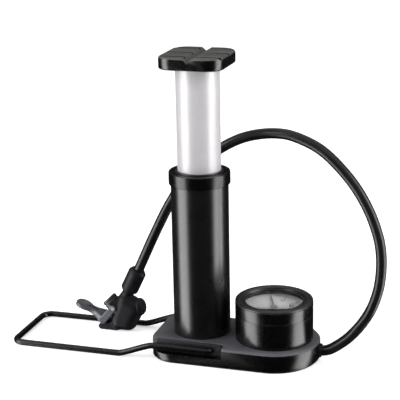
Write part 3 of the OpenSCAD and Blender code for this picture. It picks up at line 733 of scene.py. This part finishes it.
# ---------------------------------------------------------------- gauge
GAUGE_AT = (gauge.x, gauge.y, 0)
gauge_mm = (case_hi.x - case_lo.x) / 2 / MM
case_z0, case_z1 = case_lo.z / MM, case_hi.z / MM
shell_z1 = span("gauge_shell")[1].z / MM
dial_lo, dial_hi, _ = span("dial")
dial_mm = (dial_hi.x - dial_lo.x) / 2 / MM
dial_z0, dial_z1 = dial_lo.z / MM, dial_hi.z / MM
lens_lo, lens_hi, _ = span("gauge_lens")
lens_z0, lens_z1 = lens_lo.z / MM, lens_hi.z / MM
rim_hi = span("gauge_rim")[1]
rim_mm, rim_z1 = rim_hi.x / MM - gauge.x / MM, rim_hi.z / MM
CASE_WALL, CASE_FLOOR, STEM_MM = 1.8, 2, 3
ARBOR_HOLE_MM = 1.4
shell_bore = gauge_mm - 1.9
lens_seat, lens_mm = gauge_mm - 3.2, gauge_mm - 3.25
ledge_mm = gauge_mm - 4.2               # the ledge that the lens lies on
WINDOW_R, LIP = 18.9, 1.4

case = lathe("gauge_drum", rounded(
    [(STEM_MM, case_z0), (gauge_mm, case_z0), (gauge_mm, case_z1), (gauge_mm - CASE_WALL, case_z1),
     (gauge_mm - CASE_WALL, case_z0 + CASE_FLOOR), (STEM_MM, case_z0 + CASE_FLOOR)],
    [0.1, 0.35, 0.22, 0.1, 0.3, 0.1]), at=GAUGE_AT)
dress(case, "turned", "base", "gloss_black", "gauge_case")

shell = lathe("gauge_cover", rounded(
    [(shell_bore, case_z1), (gauge_mm, case_z1), (gauge_mm, shell_z1), (lens_seat, shell_z1),
     (lens_seat, lens_z0), (ledge_mm, lens_z0), (ledge_mm, dial_z1), (shell_bore, dial_z1)],
    [0.1, 0.22, 0.1, 0.05, 0.05, 0.2, 0.1, 0.1]), at=GAUGE_AT)
dress(shell, "turned", "base", "gloss_black", "gauge_shell")


def rim_profile():
    """A rounded roll round a thin lip that lies on the lens."""
    roll_r = WINDOW_R + LIP
    mid, half = (rim_mm + roll_r) / 2, (rim_mm - roll_r) / 2
    roll_z = lens_z1 + 0.4
    outside = [(WINDOW_R, lens_z1), (rim_mm - 0.15, lens_z1), (rim_mm, lens_z1 + 0.3)]
    turns = [math.radians(a) for a in range(6, 175, 6)]
    roll = [(mid + half * math.cos(a), roll_z + (rim_z1 - roll_z) * math.sin(a) ** 0.85)
            for a in turns]
    lip = [(roll_r, lens_z1 + 0.32), (roll_r - 0.15, lens_z1 + 0.18), (WINDOW_R + 0.35, lens_z1 + 0.42),
           (WINDOW_R + 0.1, lens_z1 + 0.38), (WINDOW_R, lens_z1 + 0.25)]
    return outside + roll + lip


rim = lathe("gauge_bezel", rim_profile(), at=GAUGE_AT, segs=160, sharp=50)
dress(rim, "rim", "base", "matt_black", "gauge_rim")

dial = lathe("dial_face", rounded([(ARBOR_HOLE_MM, dial_z0), (dial_mm, dial_z0), (dial_mm, dial_z1),
                                   (ARBOR_HOLE_MM, dial_z1)], 0.05), at=GAUGE_AT)
dress(dial, "dial", "base", "dial_white", "dial")

lens = lathe("gauge_window", rounded([(0, lens_z0), (lens_mm, lens_z0), (lens_mm, lens_z1),
                                      (0, lens_z1)], [0, 0.2, 0.2, 0], 3), at=GAUGE_AT)
lens.visible_shadow = False
dress(lens, "window", "base", "clear", "gauge_lens")

NEEDLE_ZERO, SWEEP = math.radians(112.0), math.radians(270.0)
MARKS, MINOR = 8, 5                     # numbered spaces, and small spaces in each
MARK_END = 18.9                         # outer end of every mark
LONG_MARK, SHORT_MARK = (15.4, 0.26), (16.9, 0.11)      # inner end and half width
INK_T = 0.06
NUMBER_R, NUMBER_STEP, NUMBER_SIZE, NUMBER_HALF_T = 12.6, 20, 3.3, 0.03
NUMBER_TURN = math.radians(20)


def on_dial(share):
    """Direction of a share of the scale, in radians."""
    return NEEDLE_ZERO - SWEEP * share


def dial_marks():
    """Raised ink marks round the dial."""
    bm = bmesh.new()
    count = MARKS * MINOR

    def block(a, inner, half_w):
        c, s = math.cos(a), math.sin(a)
        corners = [(inner, -half_w), (MARK_END, -half_w), (MARK_END, half_w), (inner, half_w)]
        rows = [[bm.verts.new((gauge.x + (x * c - y * s) * MM, gauge.y + (x * s + y * c) * MM,
                               z * MM)) for x, y in corners] for z in (dial_z1, dial_z1 + INK_T)]
        for i in range(4):
            j = (i + 1) % 4
            bm.faces.new((rows[0][i], rows[0][j], rows[1][j], rows[1][i]))
        bm.faces.new(list(reversed(rows[0])))
        bm.faces.new(rows[1])

    for k in range(count + 1):
        block(on_dial(k / count), *(SHORT_MARK if k % MINOR else LONG_MARK))
    return from_bmesh("dial_marks", bm)


dress(dial_marks(), "ink", "base", "dial_white")


def dial_numbers():
    """Generic round numbers inside the marks, read from the front."""
    bm = bmesh.new()
    for k in range(MARKS + 1):
        a = on_dial(k / MARKS)
        text = bpy.data.curves.new("number", "FONT")
        text.body, text.size = str(NUMBER_STEP * k), NUMBER_SIZE * MM
        text.extrude, text.resolution_u = NUMBER_HALF_T * MM, 2
        text.align_x, text.align_y = "CENTER", "CENTER"
        ob = bpy.data.objects.new("number", text)
        scene.collection.objects.link(ob)
        bpy.context.view_layer.update()
        graph = bpy.context.evaluated_depsgraph_get()
        mesh = bpy.data.meshes.new_from_object(ob.evaluated_get(graph))
        spot = Vector((gauge.x + NUMBER_R * MM * math.cos(a), gauge.y + NUMBER_R * MM * math.sin(a),
                       (dial_z1 + 0.035) * MM))
        mesh.transform(Matrix.Translation(spot) @ Matrix.Rotation(NUMBER_TURN, 4, "Z"))
        bm.from_mesh(mesh)
        bpy.data.objects.remove(ob)
        bpy.data.meshes.remove(mesh)
        bpy.data.curves.remove(text)
    return from_bmesh("dial_numbers", bm)


dress(dial_numbers(), "ink", "base", "dial_white")


# ---------------------------------------------------------------- valve head, in millimetres
head_lo, head_hi, _ = span("valve_head")
HEAD_Y = (head_lo.y + head_hi.y) / 2
HEAD_HALF = (head_hi.y - head_lo.y) / 2 / MM
PIN_AT = span("lever_pins")[2]
FERRULE_L, FERRULE_R, FERRULE_BORE, NECK_L, NECK_R = 18.5, 6.2, 1.8, 2.5, 4.0
PORT_R, PORT_L, PORT_BORE, SEAT_R, THROAT_R = 5.6, 11.5, 4.2, 4.6, 1.5
PORT_PIN_HOLE, LEVER_PIN_HOLE = 1.25, 1.2
CAP_R, CAP_T = 6.2, 3.4
ARM_T = 1.3                             # thickness of the lever's fork arms


def at_head(x, y, z):
    """Point in metres, y measured from the valve head's middle plane."""
    return Vector((x * MM, HEAD_Y + y * MM, z * MM))


def leaning(at, degrees):
    """Frame at a point, with its Z leaning from the upright in the plane of X and Z."""
    return Matrix.Translation(at) @ Matrix.Rotation(math.radians(degrees), 4, "Y")


hose_frame = (Matrix.Translation(hose_points[-1]) @ Matrix.Rotation(HOSE_TILT, 4, "Y")
              @ Matrix.Translation((0, 0, -FERRULE_L * MM)))
port_frame = leaning(at_head(-66.5, 0, 14.5), -45)
cap_frame = leaning(at_head(-51.6, 0, 18.3), 76)

ferrule = lathe("ferrule", rounded(
    [(FERRULE_BORE, 0), (FERRULE_R - 1.7, 0), (FERRULE_R, 1.9), (FERRULE_R, FERRULE_L - 2.1),
     (FERRULE_R - 1.5, FERRULE_L - 0.1), (3.55, FERRULE_L), (FERRULE_BORE, FERRULE_L)],
    [0.1, 0.4, 0.6, 0.6, 0.4, 0.1, 0.1]), frame_of=hose_frame)
dress(ferrule, "charcoal", "base", "charcoal", "hose_ferrule")


def head_body():
    """Melted block, chin and neck, cut for the port, the cap and the lever's swing."""
    r = HEAD_HALF - 0.2
    block = hull("block", [p for x, z in ((-66.5, r), (-60.5, r), (-54.8, 17.5), (-61.5, 21))
                           for p in ball(at_head(x, 0, z), r * MM, 20)])
    chin = hull("chin", [p for x, chin_r in ((-79.5, 2.2), (-68, 3.0))
                         for p in disc_y(x * MM, chin_r * MM, chin_r * MM,
                                         HEAD_Y - 4 * MM, HEAD_Y + 4 * MM)])
    neck_z0 = -NECK_L - 3
    neck = lathe("neck", rounded([(0, neck_z0), (4.6, neck_z0), (NECK_R, -NECK_L), (NECK_R, 0), (0, 0)],
                                 [0, 0.3, 0.3, 0.1, 0]), frame_of=hose_frame, segs=48)
    ob = melt("head_body", [block, chin, neck], 0.4, 4)
    tools = [rod(port_frame, PORT_R, -0.5, 30, 72)]
    swing = [(PIN_AT.x / MM, PIN_AT.z / MM), (-86, 32), (-88, 3), (-77, 3)]
    for s in (-1, 1):
        y0, y1 = sorted((s * (HEAD_HALF - ARM_T - 0.3), s * (HEAD_HALF + 3)))
        tools.append(hull("tool", [p for x, z in swing for p in disc_y(
            x * MM, z * MM, 3.4 * MM, HEAD_Y + y0 * MM, HEAD_Y + y1 * MM)]))
    tools.append(rod(cap_frame, CAP_R, 0, 20, 72))
    cut(ob, tools)
    return bevel(ob, 0.18, 2, 50)


head = head_body()
dress(head, "charcoal", "base", "charcoal", "valve_head")

cap_mm = CAP_R - 0.05
cap = lathe("side_cap", rounded(
    [(0, 0), (cap_mm, 0), (cap_mm, 1.6), (CAP_R - 1.7, CAP_T), (3.2, CAP_T), (3.0, 3.1), (0, 3.0)],
    [0, 0.3, 1.6, 1.0, 0.2, 0.2, 0]), frame_of=cap_frame, segs=96)
dress(cap, "charcoal", "base", "charcoal", "head_cap")

port_groove = PORT_R - 0.35
port = lathe("port_nozzle", rounded(
    [(THROAT_R, -0.5), (PORT_R, -0.5), (PORT_R, 8.6), (port_groove, 8.9), (port_groove, 9.4),
     (PORT_R, 9.7), (PORT_R, 10.3), (port_groove, 11.15), (PORT_R - 1.2, PORT_L),
     (PORT_BORE, PORT_L), (PORT_BORE, 5.5), (SEAT_R, 5.5), (SEAT_R, 1.0), (THROAT_R, 1.0)],
    [0.1] * 6 + [0.4, 0.3, 0.1] + [0.05] * 5, 4), frame_of=port_frame, segs=96)
cut(port, [rod(along_y(PIN_AT), PORT_PIN_HOLE, -12, 12)])
dress(port, "port", "base", "charcoal", "valve_port")


def lever_piece():
    """Thumb lever: a fork on the pins, a waist and a spoon with a dish and a slot in it."""
    pin = (PIN_AT.x / MM, PIN_AT.z / MM)
    root, neck, tip = (-77.3, 7.9), (-83.3, 11), (-93.4, 15.8)
    arm_r, root_r, neck_r, neck_w = 2.25, 2.55, 2.0, 3.75
    waist_r, waist_half, spoon_r, spoon_half = 3.6, 1.2, 6.0, 1.15
    dish_r, dish_z, slot_r, slot_z = 4.3, 0.95, 1.45, 0.35
    turn = Matrix.Rotation(math.radians(22), 4, "Y")

    def peg(q, r, y0, y1):
        return disc_y(q[0] * MM, q[1] * MM, r * MM, HEAD_Y + y0 * MM, HEAD_Y + y1 * MM)

    def disc(q, r, z0, z1, n=40):
        c = Matrix.Translation(at_head(q[0], 0, q[1])) @ turn
        return [c @ Vector((r * MM * math.cos(2 * math.pi * k / n),
                            r * MM * math.sin(2 * math.pi * k / n), z * MM))
                for k in range(n) for z in (z0, z1)]

    def on_shank(share):
        return (neck[0] + share * (tip[0] - neck[0]), neck[1] + share * (tip[1] - neck[1]))

    parts = []
    for s in (-1, 1):
        y0, y1 = sorted((s * (HEAD_HALF - ARM_T), s * HEAD_HALF))
        parts.append(hull("arm", peg(pin, arm_r, y0, y1) + peg(root, root_r, y0, y1)))
    crotch = peg(neck, neck_r, -neck_w, neck_w)
    parts.append(hull("crotch", peg(root, root_r, -HEAD_HALF, HEAD_HALF) + crotch))
    waist = disc(((neck[0] + tip[0]) / 2, (neck[1] + tip[1]) / 2), waist_r,
                 -waist_half, waist_half, 24)
    parts.append(hull("shank", crotch + waist))
    parts.append(hull("spoon", disc(tip, spoon_r, -spoon_half, spoon_half) + waist))
    ob = melt("lever_fork", parts, 0.3, 4)
    slot = disc(on_shank(0.08), slot_r, slot_z, 4.5, 20) + disc(on_shank(0.62), slot_r, slot_z, 4.5, 20)
    dish = disc(tip, dish_r, dish_z, 3.0, 32)
    cut(ob, [hull("tool", slot), hull("tool", dish), rod(along_y(PIN_AT), LEVER_PIN_HOLE, -12, 12)])
    return bevel(ob, 0.15, 2, 50)


lever = lever_piece()
dress(lever, "lever", "lever", "lever_slate", "thumb_lever")

# ---------------------------------------------------------------- springs, copied from their CAD nodes
PLUNGER_TRAVEL, POPPET_TRAVEL = 0.062, 0.001
for name, node, joint, travel in (("return_coil", "return_spring", "plunger_slide", PLUNGER_TRAVEL),
                                  ("poppet_coil", "poppet_spring", "poppet_slide", POPPET_TRAVEL)):
    bm = bmesh.new()
    bm.from_mesh(NODES[node].data)
    bm.transform(NODES[node].matrix_world)
    coil = dress(from_bmesh(name, bm, 70), "steel", "base", "steel", node)
    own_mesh(coil)

# ---------------------------------------------------------------- CAD nodes that stay
KEPT = {
    "base_screws": "steel", "barrel_seal": "rubber", "valve_seat": "brass",
    "valve_poppet": "rubber", "piston": "matt", "piston_seal": "rubber", "pedal_plug": "matt",
    "pedal_screw": "steel", "stand_pins": "wire", "gauge_stem": "brass", "bourdon_tube": "brass",
    "movement_frame": "brass", "sector_gear": "brass", "gauge_needle": "needle",
    "hose_gland": "charcoal", "port_grommet": "rubber", "lever_pins": "steel"}
for name, key in KEPT.items():
    ob = NODES[name]
    for s in ob.material_slots:
        s.material = LOOKS[key]

# ---------------------------------------------------------------- floor, sky and lights
FLOOR_HALF, FLOOR_GLOW = 6.0, 0.55
TOWARDS_CAMERA = Vector((math.sin(CAMERA_TURN), -math.cos(CAMERA_TURN), 0))
SIDEWAYS = Vector((math.cos(CAMERA_TURN), math.sin(CAMERA_TURN), 0))
SKY_FAR, SKY_NEAR = 0.9, 0.75           # strength behind the pump and behind the viewer
SKY_GLOSS, SKY_TOP = 0.03, 1.5          # times that in reflections, low down and overhead
SKY_TOP_FROM, SKY_TOP_TO = 0.45, 0.80   # sines of the elevations between which it changes over
STRIP_TURN, STRIP_AWAY, STRIP_SIZE = 75, 1.3, (0.95, 2.6)
STRIP_Z, STRIP_POWER = 0.0, 52


def floor_material():
    """Pale and matt, with a glow that lifts it to white."""
    g = Graph("floor")
    pale = g.mix(g.noise(3.0), rgba(0.80, 0.80, 0.80), rgba(0.83, 0.83, 0.83))
    g.put(g.bsdf.inputs["Base Color"], pale)
    g.put(g.bsdf.inputs["Roughness"], g.remap(g.noise(8.0), 0.3, 0.7, 0.85, 0.95))
    g.put(g.bsdf.inputs["Emission Color"], pale)
    g.bsdf.inputs["Emission Strength"].default_value = FLOOR_GLOW
    return g.mat


ground = box("floor", (-FLOOR_HALF, -FLOOR_HALF, -0.02), (FLOOR_HALF, FLOOR_HALF, 0))
ground.data.materials.clear()
ground.data.materials.append(floor_material())
ground.visible_glossy = False


def sky():
    """White to the camera; a grey room to everything else, nearly dark in low reflections."""
    world = bpy.data.worlds.new("sky")
    scene.world = world
    world.use_nodes = True
    t = world.node_tree
    t.nodes.clear()

    def node(kind, values=None, **props):
        n = t.nodes.new(kind)
        for key, value in props.items():
            setattr(n, key, value)
        for key, value in (values or {}).items():
            n.inputs[key].default_value = value
        return n

    out = node("ShaderNodeOutputWorld")
    white, room, both = (node(kind) for kind in ("ShaderNodeBackground", "ShaderNodeBackground",
                                                 "ShaderNodeMixShader"))
    rays = node("ShaderNodeLightPath")
    coord = node("ShaderNodeTexCoord")
    dot = node("ShaderNodeVectorMath", {1: TOWARDS_CAMERA}, operation="DOT_PRODUCT")
    level = node("ShaderNodeMapRange", {"From Min": -1, "From Max": 1, "To Min": SKY_FAR,
                                        "To Max": SKY_NEAR})
    split = node("ShaderNodeSeparateXYZ")
    over = node("ShaderNodeMapRange", {"From Min": SKY_TOP_FROM, "From Max": SKY_TOP_TO,
                                       "To Min": SKY_GLOSS - 1, "To Max": SKY_TOP - 1})
    gloss = node("ShaderNodeMath", {2: 1}, operation="MULTIPLY_ADD")
    scale = node("ShaderNodeMath", operation="MULTIPLY")
    for source, target in (
            (coord.outputs["Generated"], dot.inputs[0]), (dot.outputs["Value"], level.inputs["Value"]),
            (coord.outputs["Generated"], split.inputs[0]), (split.outputs["Z"], over.inputs["Value"]),
            (rays.outputs["Is Glossy Ray"], gloss.inputs[0]), (over.outputs[0], gloss.inputs[1]),
            (gloss.outputs[0], scale.inputs[0]), (level.outputs[0], scale.inputs[1]),
            (scale.outputs[0], room.inputs["Strength"]),
            (rays.outputs["Is Camera Ray"], both.inputs[0]),
            (room.outputs[0], both.inputs[1]), (white.outputs[0], both.inputs[2]),
            (both.outputs[0], out.inputs[0])):
        t.links.new(source, target)


sky()


def softbox(name, turn):
    """Tall area light; turn is degrees round from the camera, positive to the viewer's right."""
    a = math.radians(turn)
    away = TOWARDS_CAMERA * math.cos(a) + SIDEWAYS * math.sin(a)
    data = bpy.data.lights.new(name, "AREA")
    data.shape, data.energy = "RECTANGLE", STRIP_POWER
    data.size, data.size_y = STRIP_SIZE
    ob = bpy.data.objects.new(name, data)
    scene.collection.objects.link(ob)
    at = away * STRIP_AWAY + Vector((0, 0, STRIP_Z))
    facing = away.cross(Vector((0, 0, 1))).normalized()
    ob.matrix_world = Matrix.Translation(at) @ Matrix(
        (facing, Vector((0, 0, 1)), -facing.cross(Vector((0, 0, 1))))).transposed().to_4x4()
    ob.visible_camera = False


softbox("strip_right", STRIP_TURN)
softbox("strip_left", -STRIP_TURN)
scene.view_settings.view_transform = "Standard"
scene.view_settings.look = "None"
